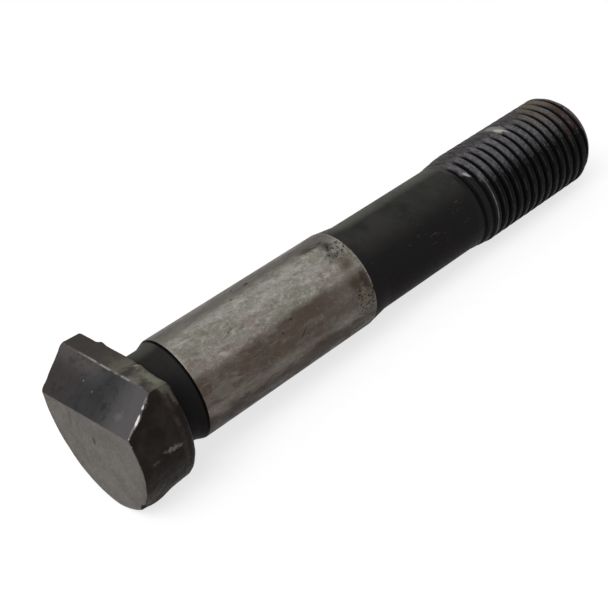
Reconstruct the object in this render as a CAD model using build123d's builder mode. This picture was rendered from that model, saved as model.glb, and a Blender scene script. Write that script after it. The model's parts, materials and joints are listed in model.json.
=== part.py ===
"""Connecting rod bolt with a forged half-round head and a fine rolled thread, in millimetres.

One forged and turned solid. It is modelled standing on its head, with the seat under the head
at Z = 0 and the thread at the top, and is then laid down the way it comes to rest on a floor:
the thread points along +X, +Z is up, and the origin is on the floor under its middle.
"""
from build123d import *
from math import atan2, cos, degrees, radians, sin, tan
import os

# Forged head
head_radius = 8.3         # round side, where it meets the end face
head_offset = 0.73        # round side's centre from the bolt's axis, towards the flat
head_height = 6.2         # seat to end face
head_draft = 2.5          # degrees, the round side narrows towards the seat
flat_distance = 5.83      # locating flat, from the bolt's axis
flat_skew = 3.3           # degrees, the flat rises towards the square corner
flat_height = 2.2         # locating flat, from the seat to the foot of the bevel
ridge_distance = 3.12     # top edge of the bevel, from the bolt's axis
corner_start = 15.0       # degrees round the round side's centre, where the square corner starts
corner_lean = 11.0        # degrees, its side leans out towards the flat
corner_blend = 3.0        # hollow between the round side and the square corner
corner_round = 0.4        # the square corner
flat_end_round = 0.3      # end of the flat, away from the square corner
rim_round = 0.45          # rim of the end face
seat_round = 0.5          # rim of the seat

# Turned shank
neck_diameter = 10.3
neck_length = 2.35
neck_fillet = 0.3
land_diameter = 11.11     # ground locating land
land_rise = 0.9           # cone from the neck up to the land
land_length = 22.4
taper_length = 2.5        # cone from the land down to the shank
shank_diameter = 10.28    # the blank that the thread is rolled from
shank_length = 14.0
flare_length = 3.1        # cone from the shank up to the thread

# Rolled thread
thread_diameter = 11.07
thread_length = 15.75     # between the flare and the tip chamfer
chamfer_length = 1.1      # cone at the tip, along the axis
chamfer_depth = 0.8       # and towards the axis

# Stations along the axis, from the seat
land_start = neck_length + land_rise
land_end = land_start + land_length
shank_start = land_end + taper_length
shank_end = shank_start + shank_length
thread_start = shank_end + flare_length
thread_end = thread_start + thread_length
bolt_tip = thread_end + chamfer_length

neck_radius = neck_diameter / 2
land_radius = land_diameter / 2
shank_radius = shank_diameter / 2
thread_radius = thread_diameter / 2

lean = radians(corner_lean)
corner_turn = radians(corner_start)
seat_radius = head_radius - head_height * tan(radians(head_draft))
skew = radians(flat_skew)
bevel_drop = head_height - flat_height
shank_root = flat_height / 2


def bevel_wedge(x):
    """Corners (Y, Z) of what the bevel takes off at x, out past the ridge and the flat."""
    foot = flat_distance / cos(skew) + x * tan(skew)
    run = foot - ridge_distance
    below = -head_height - bevel_drop
    return [(ridge_distance - run, below), (foot + run, below), (foot + run, bevel_drop - flat_height)]


with BuildPart() as bolt_blank:
    # Head: a drafted round with one square corner, which starts from a hollow in the round side,
    # and with the locating flat across it
    flat = Plane(origin=(0, flat_distance, 0), z_dir=(-sin(skew), cos(skew), 0))
    for z, radius in ((-head_height, head_radius), (0, seat_radius)):
        bottom = (0, head_offset - radius)
        top = (0, head_offset + radius)
        side_foot = (radius * cos(corner_turn), head_offset + radius * sin(corner_turn))
        side_end = (side_foot[0] + (top[1] - side_foot[1]) * tan(lean), top[1])
        with BuildSketch(Plane.XY.offset(z)):
            with BuildLine():
                Line(side_foot, side_end)
                Line(side_end, top)
                ThreePointArc(top, (-radius, head_offset), bottom)
                RadiusArc(bottom, side_foot, -radius)
            make_face()
            fillet(vertices().sort_by(Axis.Y)[0], radius=corner_blend)
    loft(ruled=True)
    split(bisect_by=flat, keep=Keep.BOTTOM)
    flat_face = faces().sort_by(Axis.Y)[-1]
    fillet(flat_face.edges().sort_by(Axis.X)[0], radius=flat_end_round)

    # Bevel: its foot follows the flat and its ridge doesn't
    for x in (-2 * head_radius, 2 * head_radius):
        with BuildSketch(Plane.YZ.offset(x)):
            Polygon(*bevel_wedge(x), align=None)
    loft(ruled=True, mode=Mode.SUBTRACT)

    # Rounded forging edges: the square corner first, then both rims, which run round it
    corner_side = faces().sort_by(Axis.X)[-1]
    fillet(corner_side.edges().sort_by(Axis.Y)[-2:], radius=corner_round)
    end_face = faces().sort_by(Axis.Z)[0]
    fillet(end_face.edges().sort_by(Axis.Y)[:-1], radius=rim_round)
    seat_face = faces().sort_by(Axis.Z)[-1]
    fillet(seat_face.edges().sort_by(Axis.Y)[:-1], radius=seat_round)

    # Shank: one turned profile, from inside the head to the tip
    with BuildSketch(Plane.XZ):
        with BuildLine():
            fillet_start = (neck_radius + neck_fillet, 0)
            fillet_end = (neck_radius, neck_fillet)
            Polyline(
                fillet_start,
                (neck_radius + neck_fillet, -shank_root),
                (0, -shank_root),
                (0, bolt_tip),
                (thread_radius - chamfer_depth, bolt_tip),
                (thread_radius, thread_end),
                (thread_radius, thread_start),
                (shank_radius, shank_end),
                (shank_radius, shank_start),
                (land_radius, land_end),
                (land_radius, land_start),
                (neck_radius, neck_length),
                fillet_end,
            )
            RadiusArc(fillet_end, fillet_start, neck_fillet)
        make_face()
    revolve(axis=Axis.Z)

# Lying down, the bolt rolls on the end face's rim and the last of the thread until its mass
# centre is lowest, with the share of the weight that the head carries lifted by its offset
mass_centre = bolt_blank.part.center(CenterOf.MASS)
contact_span = thread_end + head_height - rim_round
head_share = (thread_end - mass_centre.Z) / contact_span
lightest_side = degrees(atan2(head_share * head_offset - mass_centre.Y, -mass_centre.X))
dip = degrees(atan2(head_radius - head_offset - thread_radius, contact_span))
lying = Rot(0, 90 + dip, 0) * Rot(0, 0, 180 - lightest_side)
box = bolt_blank.part.moved(lying).bounding_box()
to_origin = Pos(-box.center().X, -box.center().Y, -box.min.Z)

with BuildPart() as rod_bolt:
    add(bolt_blank.part.moved(to_origin * lying))

rod_bolt.part.label = "rod_bolt"
print(f"length {box.size.X:.2f}, width {box.size.Y:.2f}, height {box.size.Z:.2f}")
print(f"dips {dip:.2f} degrees, flat leans {lightest_side - 90:.2f} degrees")

os.makedirs("parts", exist_ok=True)
export_step(rod_bolt.part, "parts/rod_bolt.step")
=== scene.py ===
"""Looks for the connecting rod bolt: a forged half-round head, a ground land, a black-oxided
shank and a rolled thread.

The head, the shank and the thread are modelled in millimetres in the bolt's own frame. Its origin
is on the axis at the seat under the head, with X towards the square corner, Y towards the
locating flat and Z towards the thread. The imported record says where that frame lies. Angles round
the axis go from X towards Y, and stations along it are distances from the seat.
"""

import json
import logging
import math
from collections.abc import Iterable
from dataclasses import dataclass, field
from enum import Enum
from functools import reduce

import bpy
import numpy as np
from mathutils import Matrix, Vector


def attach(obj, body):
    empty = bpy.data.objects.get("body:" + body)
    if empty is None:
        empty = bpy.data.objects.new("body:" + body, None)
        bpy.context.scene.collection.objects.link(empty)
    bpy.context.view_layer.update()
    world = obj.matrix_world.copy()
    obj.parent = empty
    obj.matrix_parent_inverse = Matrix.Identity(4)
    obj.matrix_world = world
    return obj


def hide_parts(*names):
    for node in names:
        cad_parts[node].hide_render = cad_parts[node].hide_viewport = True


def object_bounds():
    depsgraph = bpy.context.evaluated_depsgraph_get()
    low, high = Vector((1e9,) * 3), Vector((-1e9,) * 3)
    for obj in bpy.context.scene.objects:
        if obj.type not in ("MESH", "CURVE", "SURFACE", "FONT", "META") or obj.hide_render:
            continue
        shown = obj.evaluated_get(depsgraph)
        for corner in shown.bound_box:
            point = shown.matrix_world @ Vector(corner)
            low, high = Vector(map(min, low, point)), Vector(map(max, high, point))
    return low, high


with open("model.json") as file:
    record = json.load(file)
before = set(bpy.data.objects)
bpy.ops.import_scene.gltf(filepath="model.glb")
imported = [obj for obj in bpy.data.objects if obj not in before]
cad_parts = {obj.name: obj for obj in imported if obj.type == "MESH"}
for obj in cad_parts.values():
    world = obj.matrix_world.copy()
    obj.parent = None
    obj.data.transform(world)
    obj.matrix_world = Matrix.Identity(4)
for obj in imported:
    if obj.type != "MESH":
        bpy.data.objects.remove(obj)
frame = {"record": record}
cad_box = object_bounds()

MILLIMETRE = 0.001
CAD_NODE = "rod_bolt"
BODY = "root"
PLACE = "bolt_mm"  # every vertex's place in the bolt's own frame, for the finishes
SHARP_EDGE = 35.0  # edges that turn by more degrees than this stay sharp

# Stations and radii that two pieces or their finishes share, in millimetres
LAND_START = 3.25
LAND_END = 25.65
SHANK_END = 42.15
SHANK_RADIUS = 5.14

Span = tuple[float, float]  # the two ends of something
Point = tuple[float, float, float]
Colour = tuple[int, int, int]  # as seen on a screen, from 0 to 255
LEAN: Point = (-29.0, 18.0, 0.0)  # how chips along the head's corner are turned, in degrees
Faces = list[tuple[int, ...]]
Socket = bpy.types.NodeSocket

log = logging.getLogger("rod_bolt")


# ---------------------------------------------------------------------------------------------
# The bolt's own frame
# ---------------------------------------------------------------------------------------------


@dataclass(frozen=True)
class BoltFrame:
    """Where the bolt's own frame lies in the row frame.

    Attributes:
        origin: the seat's centre on the axis, in metres.
        corner: unit vector X, towards the square corner.
        flat: unit vector Y, towards the locating flat.
        axis: unit vector Z, towards the thread.
    """

    origin: Vector
    corner: Vector
    flat: Vector
    axis: Vector

    @classmethod
    def from_record(cls, record: dict, land_middle: float, flat_skew: float) -> "BoltFrame":
        """Reads the frame from the record's interfaces.

        Args:
            record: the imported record.
            land_middle: the station of the land's middle.
            flat_skew: how far the locating flat turns about the axis, in degrees.

        Returns:
            The bolt's frame.
        """
        mounts = {mount["name"]: mount for mount in record["mounts"]}
        axis = Vector(mounts["locating_land"]["axis"]).normalized()
        normal = Vector(mounts["locating_flat"]["axis"]).normalized()
        across = normal.cross(axis).normalized()
        skew = math.radians(flat_skew)
        corner = across * math.cos(skew) - normal * math.sin(skew)
        flat = across * math.sin(skew) + normal * math.cos(skew)
        middle = Vector(mounts["locating_land"]["pos_m"])
        return cls(middle - axis * land_middle * MILLIMETRE, corner, flat, axis)

    def to_row(self, points: np.ndarray) -> np.ndarray:
        """Moves points, of shape (n, 3), from the bolt's frame to the row frame, in metres."""
        basis = np.array([self.corner, self.flat, self.axis])
        return np.array(self.origin) + points @ basis * MILLIMETRE


# ---------------------------------------------------------------------------------------------
# Shapes
# ---------------------------------------------------------------------------------------------


class Unevenness:
    """Smooth random unevenness of a forged or worn surface, the same on every run."""

    CELLS = 32
    START = 0.37 * CELLS  # where the frame's origin lies in the lattice
    SIZES = 3  # how many sizes of bump are added, each half of the one before
    SHIFT = 5.3  # how far each finer size is moved, in millimetres
    TOTAL = 1.6  # what the sizes are divided by, so that they reach about 1

    def __init__(self, seed: int) -> None:
        """Draws the lattice that belongs to a seed."""
        self.lattice = np.random.default_rng(seed).uniform(-1.0, 1.0, (self.CELLS,) * 3)

    def at(self, points: np.ndarray, size: float) -> np.ndarray:
        """Gives the unevenness at some points.

        Args:
            points: an array of shape (n, 3).
            size: how wide one bump is, in millimetres.

        Returns:
            An array of n values from -1 to 1.
        """
        scaled = points / size + self.START
        low = np.floor(scaled).astype(int)
        part = scaled - low
        part = part * part * (3.0 - 2.0 * part)
        value = np.zeros(len(points))
        for corner in range(8):
            step = np.array([corner & 1, corner >> 1 & 1, corner >> 2 & 1])
            weight = np.prod(np.where(step, part, 1.0 - part), axis=1)
            cell = (low + step) % self.CELLS
            value += weight * self.lattice[cell[:, 0], cell[:, 1], cell[:, 2]]
        return value

    def rough(self, points: np.ndarray, size: float) -> np.ndarray:
        """Adds finer bumps to bumps of a size, and gives values from about -1 to 1."""
        sizes = (self.at(points + self.SHIFT * i, size / 2**i) / 2**i for i in range(self.SIZES))
        return sum(sizes) / self.TOTAL


def smooth_step(value: np.ndarray, low: float, high: float) -> np.ndarray:
    """Rises smoothly from 0 at low to 1 at high, which may be the smaller one."""
    share = np.clip((value - low) / (high - low), 0.0, 1.0)
    return share * share * (3.0 - 2.0 * share)


def rounded_corner(first: np.ndarray, second: np.ndarray, radius: float) -> np.ndarray:
    """Joins two distances into that of the corner between the surfaces, with a rounded edge.

    Args:
        first: distances to the first surface, negative inside.
        second: distances to the second surface, negative inside.
        radius: the edge's radius, in millimetres.

    Returns:
        The distances to the corner.
    """
    over_first = np.maximum(first + radius, 0.0)
    over_second = np.maximum(second + radius, 0.0)
    inside = np.minimum(np.maximum(first, second), -radius)
    return inside + np.hypot(over_first, over_second)


def smooth_least(first: np.ndarray, second: np.ndarray, blend: float) -> np.ndarray:
    """Joins two distances into that of both bodies, with a hollow blend millimetres wide."""
    near = np.maximum(blend - np.abs(first - second), 0.0) / blend
    return np.minimum(first, second) - 0.25 * blend * near * near


def turned(radius: float | np.ndarray, angle: np.ndarray, z: np.ndarray) -> np.ndarray:
    """Gives points, of shape (n, 3), from radii, angles in radians and stations."""
    return np.stack([radius * np.cos(angle), radius * np.sin(angle), z], axis=1)


def ring_angles(sides: int) -> np.ndarray:
    """Gives the angles of a ring's vertices, in radians."""
    return np.arange(sides) * 2.0 * math.pi / sides


def tube(starts: list[int], sides: int) -> Faces:
    """Joins rings of vertices into a tube.

    Args:
        starts: each ring's first vertex, in order along the axis.
        sides: how many vertices a ring has.

    Returns:
        The faces.
    """
    ring = np.arange(sides)
    after = np.roll(ring, -1)
    faces: Faces = []
    for low, high in zip(starts, starts[1:]):
        faces += zip(low + ring, low + after, high + after, high + ring)
    return faces


def cap(start: int, sides: int, middle: int, upward: bool) -> Faces:
    """Closes the end of a tube.

    Args:
        start: the end ring's first vertex.
        sides: how many vertices the ring has.
        middle: the vertex in its middle.
        upward: whether the end faces along the axis.

    Returns:
        The faces.
    """
    ring = start + np.arange(sides)
    after = np.roll(ring, -1)
    first, second = (ring, after) if upward else (after, ring)
    return list(zip(first, second, np.full(sides, middle)))


def add_object(name: str, data: bpy.types.ID) -> bpy.types.Object:
    """Adds an object to the scene.

    Args:
        name: its name.
        data: its mesh, lamp or camera.

    Returns:
        The object.
    """
    thing = bpy.data.objects.new(name, data)
    bpy.context.scene.collection.objects.link(thing)
    return thing


def make_piece(
    name: str,
    points: np.ndarray,
    faces: Faces,
    place: BoltFrame,
    marks: dict[str, np.ndarray],
    finishes: tuple[bpy.types.Material, ...],
) -> bpy.types.Object:
    """Makes one smooth mesh piece of the bolt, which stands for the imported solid.

    Args:
        name: the piece's name.
        points: its vertices, an array of shape (n, 3).
        faces: its faces; a corner that comes twice counts once.
        place: where the bolt's frame lies.
        marks: named values, one for each vertex, that the finishes read.
        finishes: its materials.

    Returns:
        The new object.
    """
    corners = [tuple(dict.fromkeys(map(int, face))) for face in faces]
    mesh = bpy.data.meshes.new(name)
    whole = [face for face in corners if len(face) > 2]
    mesh.from_pydata(place.to_row(points).tolist(), [], whole)
    mesh.validate()
    spots = mesh.attributes.new(PLACE, "FLOAT_VECTOR", "POINT")
    spots.data.foreach_set("vector", points.astype(np.float32).ravel())
    for mark, values in marks.items():
        layer = mesh.attributes.new(mark, "FLOAT", "POINT")
        layer.data.foreach_set("value", values.astype(np.float32))
    mesh.shade_smooth()
    mesh.set_sharp_from_angle(angle=math.radians(SHARP_EDGE))
    for finish in finishes:
        mesh.materials.append(finish)
    piece = add_object(name, mesh)
    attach(piece, BODY)
    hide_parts(CAD_NODE)
    return piece


class Face(Enum):
    """The faces of the head, in the order in which its distances are worked out."""

    SIDE = "side"
    END = "end"
    BEVEL = "bevel"
    FLAT = "flat"
    SEAT = "seat"


# ---------------------------------------------------------------------------------------------
# Finishes
# ---------------------------------------------------------------------------------------------


def linear(value: float) -> float:
    """Turns one channel of a screen colour, from 0 to 255, into what nodes use."""
    share = value / 255.0
    return share / 12.92 if share <= 0.04045 else ((share + 0.055) / 1.055) ** 2.4


@dataclass(frozen=True)
class Blemish:
    """One mark on the steel.

    Attributes:
        centre: its middle in the bolt's frame, in millimetres.
        reach: how far it goes each way before it is turned, in millimetres.
        colour: its colour.
        strength: how much of the steel's colour it hides, from 0 to 1.
        ragged: how uneven its edge is.
        core: the share of its reach over which it is at full strength.
        turn: how it is turned about X, Y and Z, in degrees.
    """

    centre: Point
    reach: Point
    colour: Colour
    strength: float = 1.0
    ragged: float = 1.0
    core: float = 0.4
    turn: Point = (0.0, 0.0, 0.0)


class Bench:
    """Builds the nodes of one material."""

    def __init__(self, name: str) -> None:
        """Starts an empty material.

        Args:
            name: the material's name.
        """
        self.material = bpy.data.materials.new(name)
        self.material.use_nodes = True
        self.nodes = self.material.node_tree.nodes
        self.links = self.material.node_tree.links
        self.nodes.clear()

    def put(self, value: object, socket: Socket) -> None:
        """Sets an input to a constant or links it to another node's output.

        Args:
            value: a number, a colour, a vector or an output socket.
            socket: the input to set.
        """
        if isinstance(value, Socket):
            self.links.new(value, socket)
        elif socket.type == "RGBA":
            socket.default_value = (*map(linear, value), 1.0)
        else:
            socket.default_value = value

    def node(self, kind: str, inputs: dict, **settings: str) -> bpy.types.Node:
        """Adds a node.

        Args:
            kind: its type, after "ShaderNode".
            inputs: what goes into its inputs, by their names or numbers.
            **settings: its settings.

        Returns:
            The node.
        """
        node = self.nodes.new("ShaderNode" + kind)
        for name, value in settings.items():
            setattr(node, name, value)
        for key, value in inputs.items():
            self.put(value, node.inputs[key])
        return node

    def sum_up(self, kind: str, first: object, second: object) -> Socket:
        """Does one step of arithmetic, of a kind that a Math node has."""
        return self.node("Math", {0: first, 1: second}, operation=kind).outputs[0]

    def surface(self, shader: bpy.types.Node) -> bpy.types.Material:
        """Makes a shader the material's surface and gives the material."""
        self.node("OutputMaterial", {"Surface": shader.outputs[0]})
        return self.material


class SteelBench(Bench):
    """Builds the nodes of one finish of the steel, which knows each spot's place."""

    EDGE_CORE = 0.35  # the share of an edge's width over which its mark is full
    FACE_BLEND = 0.04  # how softly one face's finish passes into the next, in millimetres
    DULL_GRAIN: Span = (0.3, 0.7)  # the values of the grain between which the roughness moves

    def __init__(self, name: str) -> None:
        """Starts an empty material that reads the place in the bolt's frame.

        Args:
            name: the material's name.
        """
        super().__init__(name)
        self.place = self.mark(PLACE, "Vector")
        parts = self.node("SeparateXYZ", {0: self.place}).outputs
        self.across, self.along = parts[0], parts[2]
        outward = self.vector("MULTIPLY", self.place, (1.0, 1.0, 0.0)).outputs["Vector"]
        self.facing = self.vector("NORMALIZE", outward).outputs["Vector"]

    def mark(self, name: str, output: str = "Fac") -> Socket:
        """Reads a named value of the mesh from one output of the node."""
        return self.node("Attribute", {}, attribute_name=name).outputs[output]

    def vector(self, kind: str, first: object, second: object = (0.0, 0.0, 0.0)) -> bpy.types.Node:
        """Does one step of arithmetic with vectors."""
        return self.node("VectorMath", {0: first, 1: second}, operation=kind)

    def both(self, *shares: object) -> Socket:
        """Multiplies shares, so that all of them have to be there."""
        return reduce(lambda first, second: self.sum_up("MULTIPLY", first, second), shares)

    def rise(
        self, value: object, low: float, high: float, foot: float = 0.0, top: float = 1.0
    ) -> Socket:
        """Maps a value smoothly from between low and high to between foot and top."""
        ends = {"Value": value, "From Min": low, "From Max": high, "To Min": foot, "To Max": top}
        return self.node("MapRange", ends, interpolation_type="SMOOTHSTEP").outputs["Result"]

    def blend(self, share: object, first: float, second: float) -> Socket:
        """Mixes two plain numbers by a share from 0 to 1."""
        return self.rise(share, 0.0, 1.0, first, second)

    def window(self, value: object, start: float, full: float, last: float, end: float) -> Socket:
        """Marks values between start and end, and fully those between full and last."""
        return self.both(self.rise(value, start, full), self.rise(value, end, last))

    def band(self, angle: float, half_width: float, fade: float) -> Socket:
        """Marks a band that runs lengthwise along the shank.

        Args:
            angle: its middle round the axis, in degrees.
            half_width: half its width, in degrees.
            fade: how far it fades out beyond that, in degrees.

        Returns:
            1 in the band and 0 away from it.
        """
        turn = math.radians(angle)
        facing = self.vector("DOT_PRODUCT", self.facing, (math.cos(turn), math.sin(turn), 0.0))
        inner = math.cos(math.radians(half_width))
        outer = math.cos(math.radians(half_width + fade))
        return self.rise(facing.outputs["Value"], outer, inner)

    def edge(self, first: Socket, second: Socket, width: float) -> Socket:
        """Marks the edge between two faces, width millimetres down each of them."""
        lesser = self.sum_up("MINIMUM", first, second)
        return self.rise(lesser, -width, -self.EDGE_CORE * width)

    def over(self, first: Socket, *others: Socket) -> Socket:
        """Marks where one face is the outermost one.

        Args:
            first: distance to that face, negative inside.
            *others: distances to the others.

        Returns:
            1 on the face and 0 away from it.
        """
        outermost = reduce(lambda one, two: self.sum_up("MAXIMUM", one, two), others)
        ahead = self.sum_up("SUBTRACT", first, outermost)
        return self.rise(ahead, -self.FACE_BLEND, self.FACE_BLEND)

    def grain(
        self, scale: Point, detail: float, roughness: float, shift: float = 0.0, bend: float = 0.0
    ) -> Socket:
        """Gives a random grain.

        Args:
            scale: grains to the millimetre along X, Y and Z.
            detail: how many finer sizes are added.
            roughness: how strong the finer sizes are.
            shift: moves the pattern, so that two grains differ.
            bend: how far the grain is distorted.

        Returns:
            Values from 0 to 1, mostly near 0.5.
        """
        move = (shift, 2.0 * shift, 3.0 * shift)
        spot = self.node("Mapping", {"Vector": self.place, "Scale": scale, "Location": move})
        settings = {"Scale": 1.0, "Detail": detail, "Roughness": roughness, "Distortion": bend}
        noise = self.node("TexNoise", {"Vector": spot.outputs["Vector"], **settings})
        return noise.outputs["Fac"]

    def sway(self, grain: Socket, far: float) -> Socket:
        """Gives how far a grain moves an edge, up to far / 2 each way."""
        return self.both(self.sum_up("SUBTRACT", grain, 0.5), far)

    def mix(self, share: object, first: object, second: object) -> Socket:
        """Mixes two colours, with a share from 0 to 1 of the second."""
        colours = {"Factor": share, "A": first, "B": second}
        return self.node("Mix", colours, data_type="RGBA").outputs["Result"]

    def coats(self, tone: object, *layers: tuple[object, object]) -> Socket:
        """Lays coats, each given by its share and its colour, over a colour."""
        return reduce(lambda under, layer: self.mix(layer[0], under, layer[1]), layers, tone)

    def blemished(self, tone: Socket, marks: Iterable[Blemish], grain: Socket) -> Socket:
        """Lays blemishes over a colour.

        Args:
            tone: the colour under them.
            marks: the blemishes.
            grain: the grain that makes their edges uneven.

        Returns:
            The colour with the blemishes.
        """
        for mark in marks:
            turn = [math.radians(angle) for angle in mark.turn]
            frame_of = {"Location": mark.centre, "Rotation": turn, "Scale": mark.reach}
            inputs = {"Vector": self.place, **frame_of}
            spot = self.node("Mapping", inputs, vector_type="TEXTURE").outputs["Vector"]
            length = self.vector("LENGTH", spot).outputs["Value"]
            distance = self.sum_up("ADD", length, self.sway(grain, mark.ragged))
            share = self.rise(distance, 1.0, mark.core, 0.0, mark.strength)
            tone = self.mix(share, tone, mark.colour)
        return tone

    def relief(self, height: Socket, depth: float, strength: float) -> Socket:
        """Gives the normal of a fine relief, where a height of 1 is depth millimetres."""
        inputs = {"Strength": strength, "Distance": depth * MILLIMETRE, "Height": height}
        return self.node("Bump", inputs).outputs["Normal"]

    def finish(
        self,
        colour: Socket,
        grain: Socket,
        dull: Span,
        metal: object,
        gloss: float,
        normal: Socket,
    ) -> bpy.types.Material:
        """Makes the shader and the material.

        Args:
            colour: the base colour.
            grain: the grain that the roughness follows.
            dull: the least and the most roughness, from 0, polished, to 1, dull.
            metal: from 0, oxide or grime, to 1, bare metal.
            gloss: specular level of what isn't metal.
            normal: the surface's normal.

        Returns:
            The finished material.
        """
        roughness = self.blend(self.rise(grain, *self.DULL_GRAIN), *dull)
        inputs = {"Base Color": colour, "Roughness": roughness, "Metallic": metal}
        inputs |= {"Specular IOR Level": gloss, "Normal": normal}
        return self.surface(self.node("BsdfPrincipled", inputs))


@dataclass(frozen=True)
class ForgedFinish:
    """The head: a bare, worn end face, a dark bevel, an oily flat and a brown-black round."""

    end: Colour = (110, 105, 101)
    end_streak: Colour = (84, 80, 73)
    bevel_left: Colour = (60, 55, 55)
    bevel: Colour = (54, 54, 55)
    bevel_edge: Colour = (84, 79, 78)
    bevel_smudge: Colour = (38, 41, 43)
    bevel_right: Colour = (85, 82, 83)
    flat: Colour = (62, 58, 55)
    flat_oily: Colour = (104, 102, 91)
    side: Colour = (35, 30, 28)
    side_worn: Colour = (48, 43, 40)
    seat_lip: Colour = (72, 65, 60)
    # line: bright lines along the edges, partly burnish and partly painted highlight
    line: Colour = (154, 152, 148)
    blemishes: tuple[Blemish, ...] = (
        Blemish((-0.21, 0.23, -6.2), (0.36, 0.62, 0.4), (54, 51, 48), 0.9, 0.7, 0.5, (0, 0, 20)),
        Blemish((3.4, 1.6, -6.2), (0.45, 1.9, 0.4), (84, 74, 76), 0.6, 1.4, turn=(0, 0, 24)),
        Blemish((2.3, 1.1, -6.2), (0.35, 1.7, 0.4), (88, 86, 78), 0.6, 1.4, turn=(0, 0, 20)),
        Blemish((-8.16, -0.04, -2.5), (0.5, 0.4, 1.2), (124, 119, 112), 0.85, 2.6, 0.1, (11, 0, 0)),
        Blemish((-8.14, -0.27, -4.7), (0.5, 0.25, 0.6), (96, 92, 86), 0.5, 2.4, 0.1),
        Blemish((2.45, 4.69, -3.88), (0.16, 0.16, 0.16), (150, 150, 152), 0.8, 0.8),
        Blemish((0.46, 4.39, -4.33), (0.16, 0.2, 0.16), (128, 128, 130), 0.7, 0.8),
        Blemish((-5.05, 4.23, -4.57), (0.16, 0.16, 0.16), (150, 148, 150), 0.8, 0.8),
        Blemish((-0.2, 4.3, -4.5), (1.6, 0.9, 1.0), (44, 46, 47), 0.6, 2.2, 0.2),
        Blemish((-2.2, 3.95, -5.0), (0.6, 0.5, 0.9), (40, 41, 44), 0.8, 2.2, 0.2),
        Blemish((-4.9, 3.9, -5.0), (0.8, 0.4, 0.6), (100, 97, 98), 0.6, 2.2, 0.2),
        # Painted highlight on the burr at the flat's seat edge
        Blemish((-2.3, 5.8, -0.25), (0.75, 0.6, 0.2), (158, 156, 144), 0.8, turn=(0, 38, 0)),
        Blemish((-4.9, 5.6, -0.6), (1.9, 0.6, 0.8), (116, 116, 102), 0.8, 1.3),
        Blemish((-6.9, 5.2, -0.6), (0.9, 0.9, 0.9), (88, 86, 78), 0.7, 1.3),
        Blemish((-7.3, 3.9, -0.5), (0.35, 1.4, 0.35), (100, 92, 86), 0.6, 1.6),
        Blemish((-7.47, 4.12, -4.57), (0.17, 0.17, 0.66), (222, 218, 213), 1.0, 0.9, 0.75, LEAN),
        Blemish((-7.14, 4.76, -3.49), (0.15, 0.15, 0.25), (202, 199, 195), 0.9, 0.9, 0.7, LEAN),
        Blemish((-6.88, 5.12, -2.9), (0.11, 0.11, 0.75), (128, 122, 118), 0.8, 1.0, 0.7, LEAN),
        Blemish((-7.8, 3.33, -6.05), (0.18, 0.18, 0.24), (168, 162, 156), 0.8, 0.9, 0.7, LEAN),
    )

    def make(self) -> bpy.types.Material:
        """Builds the material.

        Returns:
            The finish.
        """
        bench = SteelBench("forged_steel")
        rise, both, across = bench.rise, bench.both, bench.across
        side, end, bevel, flat, seat = (bench.mark(face.value) for face in Face)
        broad = bench.grain((0.35, 0.35, 0.35), 4.0, 0.6)
        fine = bench.grain((3.0, 3.0, 3.0), 5.0, 0.65, 3.1)
        coarse = bench.grain((1.1, 1.1, 1.1), 4.0, 0.6, 1.7)
        streak = bench.grain((0.9, 0.22, 0.4), 3.0, 0.6, 7.7)

        side_tone = bench.mix(rise(broad, 0.42, 0.66), self.side, self.side_worn)
        end_tone = bench.coats(
            self.end,
            (rise(broad, 0.3, 0.75, 0.1, 0.7), self.end_streak),
            (both(rise(streak, 0.46, 0.66), rise(across, 0.0, 5.0, 0.0, 0.4)), self.end_streak),
        )
        upper = both(rise(flat, -1.5, -0.2, 0.0, 0.8), rise(across, -2.0, 3.0))
        smudges = both(rise(coarse, 0.48, 0.68, 0.0, 0.5), rise(across, -6.5, -3.0))
        bevel_tone = bench.coats(
            self.bevel,
            (rise(across, 1.0, 6.0), self.bevel_left),
            (rise(across, -1.0, -6.0), self.bevel_right),
            (upper, self.bevel_edge),
            (smudges, self.bevel_smudge),
        )
        oily = both(rise(broad, 0.35, 0.6), rise(across, 4.0, -4.0))
        flat_tone = bench.mix(oily, self.flat, self.flat_oily)

        on_end = bench.over(end, side, bevel)
        right = rise(across, -3.0, -4.0)
        # Bright line along the ridge: partly burnish, partly painted highlight on the rounded edge
        line = both(
            bench.edge(flat, bevel, 0.1),
            rise(coarse, 0.38, 0.62, 0.1, 0.9),
            rise(across, 6.5, 2.0, 0.3, 1.0),
            rise(across, -6.2, -4.5),
        )
        lip = both(bench.window(seat, -1.6, -1.2, -1.2, -0.8), rise(coarse, 0.36, 0.6, 0.1, 0.9))
        # Bright lines on the worn side's rims: partly burnish, partly painted highlight
        worn = both(bench.edge(bevel, side, 0.12), rise(coarse, 0.45, 0.6, 0.0, 0.5))
        rim = both(bench.edge(end, side, 0.1), rise(coarse, 0.56, 0.66, 0.0, 0.6))
        tone = bench.coats(
            side_tone,
            (on_end, end_tone),
            (bench.over(bevel, side, end, flat), bevel_tone),
            (bench.over(flat, side, bevel), flat_tone),
            (line, self.line),
            (both(lip, right, 0.7), self.seat_lip),
            (both(worn, right), self.line),
            (both(rim, right), self.line),
        )
        tone = bench.blemished(tone, self.blemishes, fine)
        height = both(bench.mix(0.5, coarse, fine), bench.blend(on_end, 1.0, 0.2))
        metal = bench.blend(on_end, 0.0, 0.35)
        return bench.finish(tone, fine, (0.42, 0.6), metal, 0.04, bench.relief(height, 0.08, 0.6))


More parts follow.
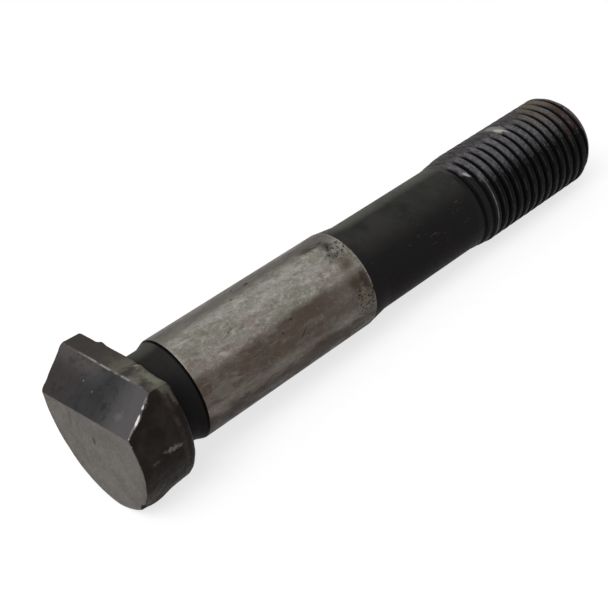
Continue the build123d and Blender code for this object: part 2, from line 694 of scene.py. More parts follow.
@dataclass(frozen=True)
class GroundFinish:
    """The locating land: ground bright once, now grey with lengthwise stains, pitting, painted
    light and shade.
    """

    bright: Colour = (160, 157, 150)
    olive: Colour = (137, 135, 124)
    top: Colour = (106, 101, 95)
    patch: Colour = (192, 186, 180)
    reddish: Colour = (136, 123, 117)
    # The next one is stains and also painted shade in the dark bands on the lower side
    stain_and_shade: Colour = (88, 77, 69)
    # low: painted shade on the land's underside
    low: Colour = (60, 52, 46)
    smoky: Colour = (92, 86, 78)
    pit: Colour = (34, 29, 26)
    smoky_from: Span = (LAND_END - 3.4, LAND_END - 2.0)
    rim_from: Span = (LAND_END - 0.2, LAND_END - 0.1)
    stain_full_from: Span = (23.0, 18.0)
    blemishes: tuple[Blemish, ...] = (
        Blemish((-0.6, 5.5, 22.4), (1.0, 0.9, 2.0), (74, 70, 64), 0.95, 2.0, 0.1),
        Blemish((-1.4, 5.3, 24.1), (1.4, 0.9, 1.0), (68, 63, 57), 0.95, 2.0, 0.1),
        Blemish((-2.7, 4.8, 23.6), (1.5, 1.2, 0.6), (88, 80, 70), 0.75, 2.4, 0.1, (25, 0, 0)),
        Blemish((-4.0, 3.8, 24.1), (1.3, 1.3, 1.1), (80, 69, 56), 0.75, 2.4, 0.1, (25, 0, 0)),
        Blemish((-5.45, 0.5, 5.6), (1.0, 1.1, 2.6), (116, 110, 103), 0.65, 2.2, 0.5, (-8, 0, 0)),
        Blemish((-5.2, 1.9, 23.8), (1.0, 1.0, 1.2), (70, 59, 48), 0.85, 2.0, 0.2),
        Blemish((-5.3, 1.7, 25.0), (1.0, 1.5, 0.7), (58, 48, 39), 0.85, 2.0, 0.3),
        Blemish((-5.5, 0.2, 24.4), (1.0, 1.0, 1.2), (118, 106, 88), 0.5, 2.2, 0.1),
        Blemish((-5.5, 0.7, 16.0), (0.5, 0.12, 0.85), (54, 48, 44), 0.75, 0.8, 0.5, (-38, 0, 0)),
        Blemish((-0.77, 5.5, 11.95), (0.25, 0.3, 0.25), (60, 52, 48), 0.7, 1.5),
    )

    def make(self) -> bpy.types.Material:
        """Builds the material.

        Returns:
            The finish.
        """
        bench = SteelBench("ground_steel")
        rise, both, band, along = bench.rise, bench.both, bench.band, bench.along
        lengthwise = bench.grain((0.8, 0.8, 0.2), 4.0, 0.6, 2.3, 0.6)
        broad = bench.grain((0.4, 0.4, 0.16), 4.0, 0.6, 4.9, 0.6)
        mottle = bench.grain((1.5, 1.5, 0.7), 5.0, 0.7, 6.1, 0.5)
        speck = bench.grain((3.4, 3.4, 2.8), 4.0, 0.8, 9.4, 0.4)
        crinkle = bench.grain((2.4, 2.4, 1.8), 4.0, 0.75, 14.2, 0.8)
        grind = bench.grain((0.5, 0.5, 8.0), 3.0, 0.6, 8.8)
        stray = bench.grain((1.3, 1.3, 1.3), 2.0, 0.5, 5.2)

        shift = bench.sum_up("ADD", bench.sway(broad, 0.9), bench.sway(mottle, 0.8))
        # Painted shade: the underside, round 233°, darker where less light falls
        low = rise(bench.sum_up("ADD", band(233.0, 20.0, 34.0), shift), 0.4, 0.95)
        low = both(low, rise(lengthwise, 0.25, 0.6, 0.7, 1.0))
        uneven = rise(lengthwise, 0.25, 0.5, 0.7, 1.0)
        # Dark lengthwise bands round 167° and 191°: partly staining, partly painted shade and dark
        # reflection
        stain_and_shade_band = rise(bench.sum_up("ADD", band(167.0, 2.0, 28.0), shift), 0.45, 1.0)
        faint = both(rise(lengthwise, 0.52, 0.7, 0.0, 0.5), rise(mottle, 0.3, 0.6))
        last = rise(along, *self.smoky_from)
        tone = bench.coats(
            self.bright,
            (rise(broad, 0.4, 0.6), self.olive),
            (both(band(150.0, 14.0, 14.0), rise(broad, 0.56, 0.44, 0.0, 0.8)), self.reddish),
            (rise(mottle, 0.5, 0.72, 0.0, 0.6), self.patch),
            (rise(mottle, 0.47, 0.3, 0.0, 0.6), self.top),
            (rise(crinkle, 0.5, 0.7, 0.0, 0.5), self.patch),
            (rise(crinkle, 0.5, 0.3, 0.0, 0.5), self.stain_and_shade),
            (both(band(70.0, 16.0, 20.0), rise(lengthwise, 0.3, 0.6, 0.7, 1.0)), self.top),
            (low, self.low),
            # Partly staining, partly painted shade
            (both(band(191.0, 13.0, 12.0), uneven, 0.68), self.stain_and_shade),
            (both(stain_and_shade_band, rise(along, *self.stain_full_from, 0.8, 1.0), uneven), self.stain_and_shade),
            (faint, self.stain_and_shade),
            (rise(crinkle, 0.54, 0.74, 0.0, 0.14), self.patch),
            (both(last, rise(mottle, 0.42, 0.56, 0.0, 0.5)), self.smoky),
        )
        pitted = bench.sum_up("MAXIMUM", band(117.0, 7.0, 9.0), band(181.0, 12.0, 8.0))
        pits = both(last, pitted, rise(speck, 0.53, 0.59))
        # Painted highlight: the land's far edge is paler on the lit side round 120°
        rim = both(rise(along, *self.rim_from), rise(mottle, 0.42, 0.6))
        tone = bench.coats(
            bench.blemished(tone, self.blemishes, mottle),
            (pits, self.pit),
            (both(rise(stray, 0.73, 0.76), 0.7), self.pit),
            (both(rim, band(120.0, 35.0, 20.0), 0.6), self.patch),
        )
        height = bench.sum_up("SUBTRACT", bench.mix(0.6, grind, mottle), both(pits, 0.6))
        metal, normal = bench.blend(low, 0.35, 0.0), bench.relief(height, 0.04, 0.6)
        return bench.finish(tone, mottle, (0.36, 0.56), metal, 0.06, normal)


@dataclass(frozen=True)
class OxideFinish:
    """Black oxide on the neck and the shank, a few light scratches, painted sheen and a painted
    shadow.
    """

    black: Colour = (32, 32, 32)
    reddish: Colour = (35, 31, 31)
    # The next two are painted sheen on the top of the shank, round 97° and 70°
    painted_sheen: Colour = (58, 58, 56)
    painted_top_sheen: Colour = (86, 85, 79)
    scratch: Colour = (84, 85, 83)
    # Painted shadow: a near-black ring in the crease where the neck meets the land
    painted_shadow: Colour = (10, 9, 9)
    scratched_from: Span = (25.0, 27.0)
    shadow_reach: Span = (-0.3, 1.2)  # from the land's start
    shadow_fade: Span = (0.1, 0.4)

    def make(self) -> bpy.types.Material:
        """Builds the material.

        Returns:
            The finish.
        """
        bench = SteelBench("black_oxide")
        rise, both, band, along = bench.rise, bench.both, bench.band, bench.along
        broad = bench.grain((0.3, 0.3, 0.3), 3.0, 0.6, 5.5)
        fine = bench.grain((4.0, 4.0, 4.0), 4.0, 0.6, 2.5)
        lines = rise(bench.grain((3.6, 3.6, 1.0), 2.0, 0.5, 12.4, 1.2), 0.62, 0.74)
        where = rise(bench.grain((0.35, 0.35, 0.35), 1.0, 0.5, 3.9), 0.46, 0.56)
        # Painted sheen: the shank is lighter on its top, round 97° and 70°, where light falls
        sheen_band = both(band(97.0, 12.0, 46.0), rise(broad, 0.3, 0.6, 0.3, 0.7))
        top_sheen_band = both(band(70.0, 8.0, 22.0), rise(broad, 0.3, 0.6, 0.7, 1.0))
        before, after = (LAND_START + reach for reach in self.shadow_reach)
        full, last = before + self.shadow_fade[0], after - self.shadow_fade[1]
        tone = bench.coats(
            self.black,
            (rise(broad, 0.42, 0.62), self.reddish),
            (both(sheen_band, rise(along, 2.0, 26.0, 0.35, 1.0)), self.painted_sheen),
            (both(top_sheen_band, rise(along, 3.0, 26.0, 0.55, 1.0)), self.painted_top_sheen),
            (both(lines, where, rise(along, *self.scratched_from), 0.3), self.scratch),
            # Painted shadow where the neck meets the land
            (bench.window(along, before, full, last, after), self.painted_shadow),
        )
        return bench.finish(tone, fine, (0.42, 0.58), 0.0, 0.02, bench.relief(fine, 0.02, 0.4))


@dataclass(frozen=True)
class ThreadFinish:
    """Rolled thread: oily black valleys, grey-violet crests worn bright in places, painted light
    and shade.
    """

    # black: the valleys' oily dirt together with their painted shade
    black: Colour = (12, 11, 13)
    shank: Colour = (32, 32, 32)
    # crest is painted light on the lit side; the next one is painted shade, also used for smears
    crest: Colour = (93, 91, 95)
    crest_shade_and_smear: Colour = (18, 17, 18)
    speck: Colour = (112, 110, 110)
    # grime: dirt in the clogged grooves, and also the plain flare's painted sheen on top
    grime: Colour = (72, 70, 68)
    brown: Colour = (98, 89, 73)
    rusty: Colour = (56, 42, 36)
    rust_speck: Colour = (112, 92, 86)
    # The next one: thin light lines along the crest edges round 175°
    pale_crest_edge: Colour = (140, 138, 132)
    # The next one is painted highlight along the run-out line
    run_out_highlight: Colour = (116, 114, 111)
    brown_from: Span = (53.5, 58.5)
    rusty_from: Span = (57.5, 60.0)
    grimy_until: Span = (58.0, 55.0)
    blemishes: tuple[Blemish, ...] = (
        Blemish((0.0, 5.45, 52.3), (2.1, 0.9, 0.85), (130, 129, 123), 0.85, 1.6, 0.5, (0, 12, 0)),
        # Painted highlight: the bright line across the ding
        Blemish((-0.8, 5.4, 52.2), (1.2, 0.9, 0.22), (180, 178, 172), 0.7, turn=(0, 20, 0)),
        Blemish((-3.1, 4.3, 43.6), (0.6, 0.9, 0.2), (156, 154, 150), 0.9, 0.8, 0.5, (0, 25, 0)),
    )

    def make(self) -> bpy.types.Material:
        """Builds the material.

        Returns:
            The finish.
        """
        bench = SteelBench("rolled_thread")
        rise, both, band, along = bench.rise, bench.both, bench.band, bench.along
        depth, past, turns = (bench.mark(name) for name in ("depth", "run_out", "turns"))
        fine = bench.grain((3.0, 3.0, 3.0), 4.0, 0.65, 1.5)
        smear = bench.grain((1.1, 1.1, 3.6), 4.0, 0.7, 6.5, 0.3)
        coarse = bench.grain((0.9, 0.9, 0.9), 4.0, 0.6, 4.4)

        brown = both(rise(along, *self.brown_from), rise(coarse, 0.4, 0.56, 0.0, 0.8))
        rusty = both(rise(along, *self.rusty_from), band(134.0, 14.0, 22.0))
        # Painted light and shade: crests are light round 100°, where light falls, dark elsewhere
        crest = bench.coats(
            self.crest_shade_and_smear,
            (band(100.0, 18.0, 36.0), self.crest),
            (rise(smear, 0.38, 0.72, 0.0, 0.7), self.crest_shade_and_smear),
            # The specks keep to the painted lit side
            (both(rise(fine, 0.5, 0.64, 0.0, 0.7), band(104.0, 16.0, 40.0)), self.speck),
            (both(brown, band(92.0, 20.0, 22.0)), self.brown),
            (both(rusty, rise(coarse, 0.38, 0.5, 0.0, 0.8)), self.rusty),
            (both(rusty, rise(fine, 0.6, 0.68)), self.rust_speck),
        )
        grime = bench.mix(rise(smear, 0.4, 0.68, 0.0, 0.8), self.grime, self.crest_shade_and_smear)
        # Thin light lines along the crest edges round 175°
        lip = both(bench.window(depth, 0.0, 0.06, 0.1, 0.18), band(175.0, 25.0, 20.0))
        # Painted sheen: the plain flare is lighter on top round 70°, like the shank, in the grime
        # colour
        plain = bench.mix(band(70.0, 10.0, 45.0), self.shank, self.grime)
        # Painted highlight: the lit edge of the first groove along the run-out line, strongest low
        # down
        first = both(
            bench.window(turns, -2.7, -2.64, -2.6, -2.54),
            bench.blend(band(200.0, 28.0, 20.0), 0.5, 1.0),
            rise(coarse, 0.3, 0.5, 0.5, 1.0),
            band(172.0, 38.0, 15.0),
        )
        tone = bench.coats(
            crest,
            # Valleys turn black from part way down: oily dirt and painted shade
            (rise(depth, 0.22, 0.6), self.black),
            (both(band(76.0, 12.0, 14.0), rise(along, *self.grimy_until), 0.85), grime),
            (both(lip, rise(coarse, 0.4, 0.6), 0.12), self.pale_crest_edge),
            (rise(past, 0.0, -0.3), bench.mix(rise(depth, 0.12, 0.4), plain, self.black)),
            (first, self.run_out_highlight),
        )
        tone = bench.blemished(tone, self.blemishes, smear)
        return bench.finish(tone, fine, (0.38, 0.56), 0.0, 0.04, bench.relief(fine, 0.025, 0.5))


# ---------------------------------------------------------------------------------------------
# The forged head
# ---------------------------------------------------------------------------------------------


@dataclass(frozen=True)
class Dent:
    """A small dent or burr on one face of the head.

    Attributes:
        face: the face it is on.
        centre: its middle in the bolt's frame, in millimetres.
        reach: how far from the middle it fades out, in millimetres.
        height: how far it stands out, in millimetres; a dent's is negative.
    """

    face: Face
    centre: Point
    reach: float
    height: float

    def raised(self, points: np.ndarray) -> np.ndarray:
        """Gives how far the face is raised at points, an array of shape (n, 3)."""
        away = ((points - np.array(self.centre)) ** 2).sum(axis=1)
        return self.height * np.exp(-away / self.reach**2)


@dataclass
class ForgedHead:
    """The half-round head with its square corner, skewed locating flat and bevel.

    Every size is in millimetres or degrees. The head is found as the shape where a distance is
    nought, so that every edge is rounded and every face can have its own unevenness. The side
    away from the square corner is the worn one. A size that ends in "worn" is added there.
    """

    place: BoltFrame
    radius: float = 8.3
    offset: float = 0.73
    height: float = 6.2
    draft: float = 2.5
    flat_distance: float = 5.83
    flat_skew: float = 3.3
    flat_height: float = 2.2
    ridge_distance: float = 3.12
    corner_start: float = 15.0
    corner_lean: float = 11.0
    corner_blend: float = 0.25
    rim_round: float = 0.4
    rim_round_worn: float = -0.2
    edge_round: float = 0.14
    corner_round: float = 0.35
    corner_round_worn: float = 0.35
    seat_round: float = 0.5
    seat_round_worn: float = 0.3
    seat_round_crisp: float = -0.38  # added under the flat
    wave: float = 3.2
    ripple: float = 0.9
    knock: float = 1.7
    knock_height_worn: float = 0.2
    knock_reach: float = 0.8
    worn_faces: Span = (-1.0, -5.0)  # along X
    worn_edges: Span = (-3.0, -5.0)
    crisp_sides: tuple[Span, Span] = ((-2.0, -1.0), (5.6, 4.6))  # along X
    crisp_depth: Span = (3.0, 5.0)  # along Y
    spacing: float = 0.12
    middle_drop: float = 1.2
    nearest: float = 0.3  # where the surface is looked for, as shares of half the box
    farthest: float = 2.2
    halvings: int = 20
    large: Unevenness = field(default_factory=lambda: Unevenness(11))
    small: Unevenness = field(default_factory=lambda: Unevenness(12))
    knocks: Unevenness = field(default_factory=lambda: Unevenness(13))

    # How high the waves are on a face, and on the worn side, and the same for the ripples
    uneven: tuple[tuple[Face, float, float, float, float], ...] = (
        (Face.SIDE, 0.07, 0.06, 0.04, 0.0),
        (Face.END, 0.02, 0.0, 0.0, 0.0),
        (Face.BEVEL, 0.03, 0.0, 0.02, 0.0),
        (Face.FLAT, 0.04, 0.09, 0.02, 0.04),
    )
    dents: tuple[Dent, ...] = (
        Dent(Face.SIDE, (-6.93, 4.9, -3.1), 0.55, 0.17),
        Dent(Face.SIDE, (-7.4, 4.3, -4.4), 0.5, 0.22),
        Dent(Face.SIDE, (-7.8, 3.4, -5.6), 0.6, -0.15),
        Dent(Face.SIDE, (-6.9, 4.9, -0.5), 0.7, 0.2),
        Dent(Face.SIDE, (-5.2, -5.5, -6.2), 0.5, -0.3),
        Dent(Face.SIDE, (-4.6, -6.25, -4.5), 1.3, 0.26),
        Dent(Face.FLAT, (4.25, 6.05, -0.3), 0.42, 0.36),
        Dent(Face.FLAT, (-2.5, 5.68, -0.2), 0.5, 0.22),
    )

    def distances(self, points: np.ndarray) -> dict[Face, np.ndarray]:
        """Gives the distance of points to each face, with the faces' unevenness.

        Args:
            points: an array of shape (n, 3).

        Returns:
            For each face an array of n distances, negative inside.
        """
        x, y, z = points.T
        lean, skew = math.radians(self.corner_lean), math.radians(self.flat_skew)
        radius = self.radius - (z + self.height) * math.tan(math.radians(self.draft))
        round_side = np.hypot(x, y - self.offset) - radius
        start = math.radians(self.corner_start)
        foot_y = self.offset + radius * math.sin(start)
        foot_x = radius * math.cos(start)
        corner_side = (x - foot_x) * math.cos(lean) - (y - foot_y) * math.sin(lean)
        corner_side = np.where((x > 0.0) & (y > self.offset), corner_side, 1.0)
        run = self.flat_distance / math.cos(skew) + x * math.tan(skew) - self.ridge_distance
        drop = self.height - self.flat_height
        bevel = ((y - self.ridge_distance) * drop - (z + self.height) * run) / np.hypot(run, drop)
        faces = {
            Face.SIDE: smooth_least(round_side, corner_side, self.corner_blend),
            Face.END: -z - self.height,
            Face.BEVEL: bevel,
            Face.FLAT: -x * math.sin(skew) + (y - self.flat_distance) * math.cos(skew),
            Face.SEAT: z,
        }
        waves = self.large.rough(points, self.wave)
        ripples = self.small.rough(points, self.ripple)
        worn = smooth_step(x, *self.worn_faces)
        for face, wave, wave_worn, ripple, ripple_worn in self.uneven:
            bumps = (wave + wave_worn * worn) * waves + (ripple + ripple_worn * worn) * ripples
            faces[face] = faces[face] + bumps
        for dent in self.dents:
            faces[dent.face] = faces[dent.face] - dent.raised(points)
        return faces

    def distance(self, points: np.ndarray) -> np.ndarray:
        """Gives the distance of points to the head's surface.

        Args:
            points: an array of shape (n, 3).

        Returns:
            An array of n distances, negative inside.
        """
        side, end, bevel, flat, seat = self.distances(points).values()
        x, y, _ = points.T
        worn = smooth_step(x, *self.worn_edges)
        head = rounded_corner(side, flat, self.corner_round + self.corner_round_worn * worn)
        head = rounded_corner(head, end, self.rim_round + self.rim_round_worn * worn)
        head = rounded_corner(head, bevel, self.edge_round)
        crisp = smooth_step(y, *self.crisp_depth)
        for span in self.crisp_sides:
            crisp = crisp * smooth_step(x, *span)
        seat_round = self.seat_round + self.seat_round_crisp * crisp + self.seat_round_worn * worn
        head = rounded_corner(head, seat, seat_round)
        rim = np.minimum(side, np.maximum(bevel, end))
        near_rim = smooth_step(rim, -self.knock_reach, 0.0)
        knocked = self.knocks.rough(points, self.knock) * near_rim
        return head + self.knock_height_worn * worn * knocked

    def shell(self) -> tuple[np.ndarray, Faces]:
        """Makes the grid of points round the head's box, all joined into one skin.

        Returns:
            The points, as directions from the head's middle, and the faces.
        """
        half = np.array([self.radius, 0.5 * (self.flat_distance + self.radius), self.height / 2])
        counts = (2.0 * half / self.spacing).astype(int)
        index = np.full(counts + 1, -1)
        cells = np.indices(index.shape)
        skin = (cells % counts[:, None, None, None] == 0).any(axis=0)
        index[skin] = np.arange(skin.sum())
        faces: Faces = []
        for axis, first_outward in ((2, False), (1, True), (0, False)):
            for end, outward in ((0, first_outward), (-1, not first_outward)):
                sheet = index.take(end, axis)
                around = (sheet[:-1, :-1], sheet[1:, :-1], sheet[1:, 1:], sheet[:-1, 1:])
                quad = np.stack(around, axis=-1).reshape(-1, 4)
                faces += map(tuple, quad if outward else quad[:, ::-1])
        return (2.0 * cells[:, skin].T / counts - 1.0) * half, faces

    def build(self) -> bpy.types.Object:
        """Casts the skin's points onto the head's surface and dresses it.

        Returns:
            The head.
        """
        middle = np.array([0.0, self.offset - self.middle_drop, -self.height / 2])
        directions, faces = self.shell()
        near = np.full(len(directions), self.nearest)
        far = np.full(len(directions), self.farthest)
        for _ in range(self.halvings):
            half_way = 0.5 * (near + far)
            outside = self.distance(middle + directions * half_way[:, None]) > 0.0
            far = np.where(outside, half_way, far)
            near = np.where(outside, near, half_way)
        points = middle + directions * far[:, None]
        marks = {face.value: values for face, values in self.distances(points).items()}
        return make_piece("forged_head", points, faces, self.place, marks, (ForgedFinish().make(),))


# ---------------------------------------------------------------------------------------------
# The turned shank and its thread
# ---------------------------------------------------------------------------------------------


@dataclass
class TurnedShank:
    """Neck, ground land and slim shank, from inside the head to the foot of the thread.

    Every size is in millimetres.
    """

    place: BoltFrame
    neck_radius: float = 5.15
    neck_length: float = 2.35
    neck_fillet: float = 0.3
    land_radius: float = 5.555
    land_start: float = LAND_START
    land_end: float = LAND_END
    land_edge: float = 0.12
    land_edge_drop: float = 0.036
    shank_radius: float = SHANK_RADIUS
    shank_start: float = 28.15
    shank_end: float = SHANK_END
    root: float = -1.1
    sides: int = 256

    def outline(self) -> tuple[tuple[float, float, int], ...]:
        """Lists the outline's corners.

        Returns:
            For each corner its station, its radius and how many rings lie up to the next one.
        """
        edge_radius = self.land_radius - self.land_edge_drop
        return (
            (self.root, self.neck_radius, 1),
            (0.0, self.neck_radius, 5),
            (self.neck_fillet, self.neck_radius, 8),
            (self.neck_length, self.neck_radius, 6),
            (self.land_start, edge_radius, 2),
            (self.land_start + self.land_edge, self.land_radius, 90),
            (self.land_end - self.land_edge, self.land_radius, 2),
            (self.land_end, edge_radius, 12),
            (self.shank_start, self.shank_radius, 60),
            (self.shank_end, self.shank_radius, 1),
        )

    def rings(self) -> tuple[np.ndarray, np.ndarray]:
        """Places the rings along the outline.

        Returns:
            The rings' stations and their radii.
        """
        stations, radii, counts = zip(*self.outline())
        stretches = zip(stations, (*stations[1:], self.shank_end), counts)
        rows = [np.linspace(low, high, count, endpoint=False) for low, high, count in stretches]
        z = np.concatenate(rows)
        low = np.clip(self.neck_fillet - z, 0.0, self.neck_fillet)
        fillet = self.neck_fillet - np.sqrt(self.neck_fillet**2 - low**2)
        return z, np.interp(z, stations, radii) + fillet

    def build(self) -> bpy.types.Object:
        """Turns the shank and dresses it.

        Returns:
            The shank.
        """
        z, radii = self.rings()
        height, angle = (g.ravel() for g in np.meshgrid(z, ring_angles(self.sides), indexing="ij"))
        spots = turned(np.repeat(radii, self.sides), angle, height)
        starts = list(range(0, len(spots), self.sides))
        faces = tube(starts, self.sides)
        faces += cap(0, self.sides, len(spots), False)
        faces += cap(starts[-1], self.sides, len(spots) + 1, True)
        spots = np.vstack([spots, [[0.0, 0.0, self.root], [0.0, 0.0, self.shank_end]]])
        finishes = (OxideFinish().make(), GroundFinish().make())
        piece = make_piece("turned_shank", spots, faces, self.place, {}, finishes)
        for polygon in piece.data.polygons:
            middle = float(np.mean(spots[list(polygon.vertices), 2]))
            polygon.material_index = int(self.land_start < middle < self.land_end)
        return piece


@dataclass
class RolledThread:
    """The flare, the rolled thread and the chamfered tip.

    Every size is in millimetres or degrees. Its rows of faces follow the thread's helix, and the
    first and the last rings are plain.
    """

    place: BoltFrame
    shank_radius: float = SHANK_RADIUS
    shank_end: float = SHANK_END
    thread_radius: float = 5.535
    thread_start: float = 45.25
    thread_end: float = 61.00
    tip: float = 62.10
    tip_radius: float = 4.735
    tip_rings: int = 4
    pitch: float = 1.27
    groove_depth: float = 0.6
    crest_flat: float = 0.42
    root_flat: float = 0.2
    groove_station: float = 48.16
    groove_angle: float = 147.6
    run_out_start: float = 43.0
    run_out_climb: float = 2.7
    run_out_angle: float = 200.0
    run_out_turn: Span = (0.0, 0.9)  # as cosines
    run_out_fade: Span = (-0.3, 0.45)
    faint_length: float = 0.8
    faint_share: float = 0.5  # how deep the grooves are short of the run-out line
    clogged_angle: float = 74.0
    clogged_half: Span = (32.0, 14.0)
    clogged_stations: Span = (57.5, 55.0)
    clogged_share: float = 0.85
    wear: float = 0.03
    wear_size: float = 1.1
    wear_radius: float = 5.5
    sides: int = 256
    rows_to_pitch: int = 18
    waves: Unevenness = field(default_factory=lambda: Unevenness(21))

    def envelope(self, z: np.ndarray) -> np.ndarray:
        """Gives the radius over the crests.

        Args:
            z: stations along the axis.

        Returns:
            The radii.
        """
        stations = (self.shank_end, self.thread_start, self.thread_end, self.tip)
        radii = (self.shank_radius, self.thread_radius, self.thread_radius, self.tip_radius)
        return np.interp(z, stations, radii)

    def turns(self, angle: np.ndarray, z: np.ndarray) -> np.ndarray:
        """Gives how many turns past a certain root a spot is, whole at every root."""
        turn = (angle - math.radians(self.groove_angle)) / (2.0 * math.pi)
        return (z - self.groove_station) / self.pitch - turn

    def groove(self, angle: np.ndarray, z: np.ndarray) -> np.ndarray:
        """Gives how deep the thread's groove is.

        Args:
            angle: angles round the axis, in radians.
            z: stations along it.

        Returns:
            The depths under the crests, from 0 to 1.
        """
        phase = self.turns(angle, z)
        from_root = np.abs(phase - np.round(phase)) * self.pitch
        high, low = 0.5 * (self.pitch - self.crest_flat), 0.5 * self.root_flat
        straight = np.clip((high - from_root) / (high - low), 0.0, 1.0)
        return 0.5 * straight + 0.5 * smooth_step(from_root, high, low)

    def past_run_out(self, angle: np.ndarray, z: np.ndarray) -> np.ndarray:
        """Gives how far a spot is past the line where the thread runs out."""
        facing = np.cos(angle - math.radians(self.run_out_angle))
        return z - self.run_out_start - self.run_out_climb * smooth_step(facing, *self.run_out_turn)

    def radius(self, angle: np.ndarray, z: np.ndarray) -> tuple[np.ndarray, np.ndarray]:
        """Gives the surface's radius and how deep in the groove it is.

        Args:
            angle: angles round the axis, in radians.
            z: stations along it.

        Returns:
            The radii, and the depths from 0 on a crest to 1 at a root.
        """
        outer = self.envelope(z)
        faint = smooth_step(z, self.run_out_start - self.faint_length, self.run_out_start)
        full = smooth_step(self.past_run_out(angle, z), *self.run_out_fade)
        fade = self.faint_share * faint + (1.0 - self.faint_share) * full
        facing = np.cos(angle - math.radians(self.clogged_angle))
        clogged = smooth_step(facing, *np.cos(np.radians(self.clogged_half)))
        clogged = clogged * smooth_step(z, *self.clogged_stations)
        depth = self.groove(angle, z) * fade * (1.0 - self.clogged_share * clogged)
        crests = np.where(z > self.thread_end, self.thread_radius, outer)
        bumps = self.waves.rough(turned(self.wear_radius, angle, z), self.wear_size)
        wear = self.wear * np.maximum(bumps, 0.0) * fade * (1.0 - clogged)
        return np.minimum(outer, crests - depth * self.groove_depth) - wear, depth

    def rows(self) -> tuple[np.ndarray, np.ndarray]:
        """Lays the rows of vertices, which follow the helix between the two plain rings.

        Returns:
            For each vertex its angle and its station, and for each place in the rows the vertex
            that lies there.
        """
        turn, ring = ring_angles(self.sides), np.arange(self.sides)
        low, high, hair = self.shank_end, self.thread_end, 1e-6
        count = math.ceil((high - low + self.pitch) / self.pitch * self.rows_to_pitch)
        climb = self.pitch * turn / (2.0 * math.pi)
        rows = np.arange(count + 1)[:, None] * (self.pitch / self.rows_to_pitch)
        z = low - self.pitch + rows + climb
        inside = (z > low + hair) & (z < high - hair)
        index = np.where(z <= low + hair, ring, self.sides + ring)
        index[inside] = 2 * self.sides + np.arange(inside.sum())
        rings = [np.stack([turn, np.full(self.sides, end)], axis=1) for end in (low, high)]
        angles = np.broadcast_to(turn, z.shape)
        return np.vstack([*rings, np.stack([angles[inside], z[inside]], axis=1)]), index

    def build(self) -> bpy.types.Object:
        """Rolls the thread and dresses it.

        Returns:
            The thread.
        """
        flat_spots, index = self.rows()
        turn_later = index[self.rows_to_pitch :]
        beyond = np.vstack([turn_later, np.tile(index[-1], (self.rows_to_pitch, 1))])[:, :1]
        grid = np.hstack([index, beyond])
        quads = np.stack([grid[:-1, :-1], grid[:-1, 1:], grid[1:, 1:], grid[1:, :-1]], axis=-1)
        plain = len(flat_spots)
        around = ring_angles(self.sides)
        for z in np.linspace(self.thread_end, self.tip, self.tip_rings + 1)[1:]:
            ring = np.stack([around, np.full_like(around, z)], axis=1)
            flat_spots = np.vstack([flat_spots, ring])
        angle, z = flat_spots.T
        radius, depth = self.radius(angle, z)
        count = len(flat_spots)
        starts = [self.sides, *range(plain, count, self.sides)]
        faces = quads.reshape(-1, 4).tolist() + tube(starts, self.sides)
        faces += cap(starts[-1], self.sides, count, True) + cap(0, self.sides, count + 1, False)
        middles = [[0.0, 0.0, self.tip], [0.0, 0.0, self.shank_end]]
        spots = np.vstack([turned(radius, angle, z), middles])
        # The middles of the ends count as roots, past the run-out line
        marks = {
            "depth": np.append(depth, [1.0, 1.0]),
            "run_out": np.append(self.past_run_out(angle, z), [9.0, 9.0]),
            "turns": np.append(self.turns(angle, z), [9.0, 9.0]),
        }
        finishes = (ThreadFinish().make(),)
        return make_piece("rolled_thread", spots, faces, self.place, marks, finishes)


# ---------------------------------------------------------------------------------------------
# Floor, light and camera
# ---------------------------------------------------------------------------------------------


@dataclass(frozen=True)
class SoftLamp:
    """A soft square lamp that faces the bolt.

    Attributes:
        name: the lamp's name.
        azimuth: where it stands, in degrees from +X towards +Y.
        elevation: how high it stands, in degrees.
        distance: from the bolt, in metres.
        size: its side, in metres.
        power: in watts.
    """

    name: str
    azimuth: float
    elevation: float
    distance: float
    size: float
    power: float

    def hang(self, aim: Vector) -> None:
        """Hangs the lamp.

        Args:
            aim: what it faces.
        """
        light = bpy.data.lights.new(self.name, "AREA")
        light.shape = "SQUARE"
        light.size = self.size
        light.energy = self.power
        turn, rise = math.radians(self.azimuth), math.radians(self.elevation)
        level = math.cos(rise)
        away = Vector((math.cos(turn) * level, math.sin(turn) * level, math.sin(rise)))
        lamp = add_object(self.name, light)
        lamp.location = aim + away * self.distance
        lamp.rotation_euler = away.to_track_quat("Z", "Y").to_euler()


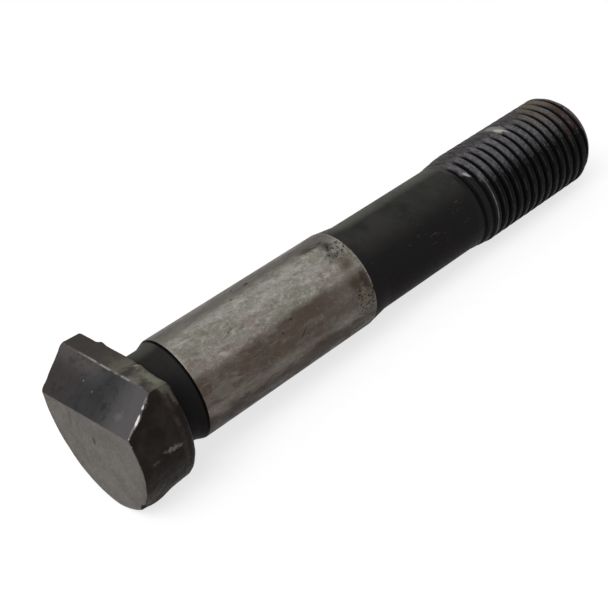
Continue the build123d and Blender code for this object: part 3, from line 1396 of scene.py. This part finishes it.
@dataclass(frozen=True)
class Studio:
    """A plain white floor, a white world, soft lamps and the camera.

    Attributes:
        floor_size: the floor's side, in metres.
        floor_tone: the floor's own colour, which the lamps light.
        floor_lift: how much of the floor's white doesn't take shadow.
        world: the world's strength.
        standpoint: the camera's place in the bolt's frame, in millimetres.
        ahead: the way the camera looks, in the bolt's frame.
        down: the way that is down in its view, in the bolt's frame.
        lens: its focal length, in millimetres.
        sensor: its sensor's width, in millimetres.
        clip_start: the nearest that it shows, in metres.
        lamps: the lamps.
    """

    floor_size: float = 6.0
    floor_tone: float = 0.35
    floor_lift: float = 0.72
    world: float = 0.42
    standpoint: Point = (-92.4, 58.7, -40.3)
    ahead: Point = (0.7378, -0.4686, 0.4858)
    down: Point = (-0.2219, -0.8481, -0.4811)
    lens: float = 71.64
    sensor: float = 36.0
    clip_start: float = 0.005
    lamps: tuple[SoftLamp, ...] = (
        SoftLamp("key_lamp", 212.0, 52.0, 0.9, 0.6, 5.2),
        SoftLamp("fill_lamp", 150.0, 45.0, 1.1, 0.9, 1.2),
    )

    def floor_finish(self) -> bpy.types.Material:
        """Makes the floor's white, which keeps the bolt's shadow.

        Returns:
            The finish.
        """
        bench = Bench("white_floor")
        matt = bench.node("BsdfDiffuse", {})
        matt.inputs["Color"].default_value = (self.floor_tone,) * 3 + (1.0,)
        rays = bench.node("LightPath", {}).outputs
        seen = rays["Is Camera Ray"]
        for ray in ("Is Glossy Ray", "Is Transmission Ray"):
            seen = bench.sum_up("MAXIMUM", seen, rays[ray])
        strength = bench.sum_up("MULTIPLY", seen, self.floor_lift)
        glow = bench.node("Emission", {"Strength": strength})
        return bench.surface(bench.node("AddShader", {0: matt.outputs[0], 1: glow.outputs[0]}))

    def lay_floor(self) -> None:
        """Lays the floor."""
        half = self.floor_size / 2.0
        corners = [(-half, -half, 0.0), (half, -half, 0.0), (half, half, 0.0), (-half, half, 0.0)]
        mesh = bpy.data.meshes.new("floor")
        mesh.from_pydata(corners, [], [(0, 1, 2, 3)])
        mesh.materials.append(self.floor_finish())
        floor = add_object("floor", mesh)

    def light_world(self) -> None:
        """Lights the world a plain white."""
        world = bpy.data.worlds.new("white_world")
        world.use_nodes = True
        back = world.node_tree.nodes["Background"]
        back.inputs["Color"].default_value = (1.0, 1.0, 1.0, 1.0)
        back.inputs["Strength"].default_value = self.world
        bpy.context.scene.world = world

    def stand_camera(self, place: BoltFrame) -> None:
        """Stands the camera where it looks down along the bolt.

        Args:
            place: where the bolt's frame lies.
        """
        data = bpy.data.cameras.new("camera")
        data.sensor_fit = "HORIZONTAL"
        data.sensor_width = self.sensor
        data.lens = self.lens
        data.clip_start = self.clip_start
        foot = np.array(self.standpoint)
        sights = place.to_row(np.array([foot, foot + self.ahead, foot + self.down]))
        stand, ahead, down = map(Vector, sights)
        back = (stand - ahead).normalized()
        right = (stand - down).cross(back).normalized()
        basis = Matrix((right, back.cross(right), back)).transposed()
        camera = add_object("camera", data)
        camera.matrix_world = Matrix.Translation(stand) @ basis.to_4x4()
        bpy.context.scene.camera = camera

    def set_up(self, place: BoltFrame) -> None:
        """Sets up the whole studio.

        Args:
            place: where the bolt's frame lies.
        """
        self.lay_floor()
        self.light_world()
        for lamp in self.lamps:
            lamp.hang((cad_box[0] + cad_box[1]) / 2.0)
        self.stand_camera(place)
        bpy.context.scene.view_settings.view_transform = "Standard"


# ---------------------------------------------------------------------------------------------
# Putting it together
# ---------------------------------------------------------------------------------------------


def main() -> None:
    """Builds the studio and the bolt, and reports each piece."""
    logging.basicConfig(level=logging.INFO, format="%(message)s")
    land_middle = (LAND_START + LAND_END) / 2.0
    place = BoltFrame.from_record(frame["record"], land_middle, ForgedHead.flat_skew)
    Studio().set_up(place)
    for part in (ForgedHead(place), TurnedShank(place), RolledThread(place)):
        piece = part.build()
        log.info("%s: %d faces", piece.name, len(piece.data.polygons))


if __name__ == "__main__":
    main()
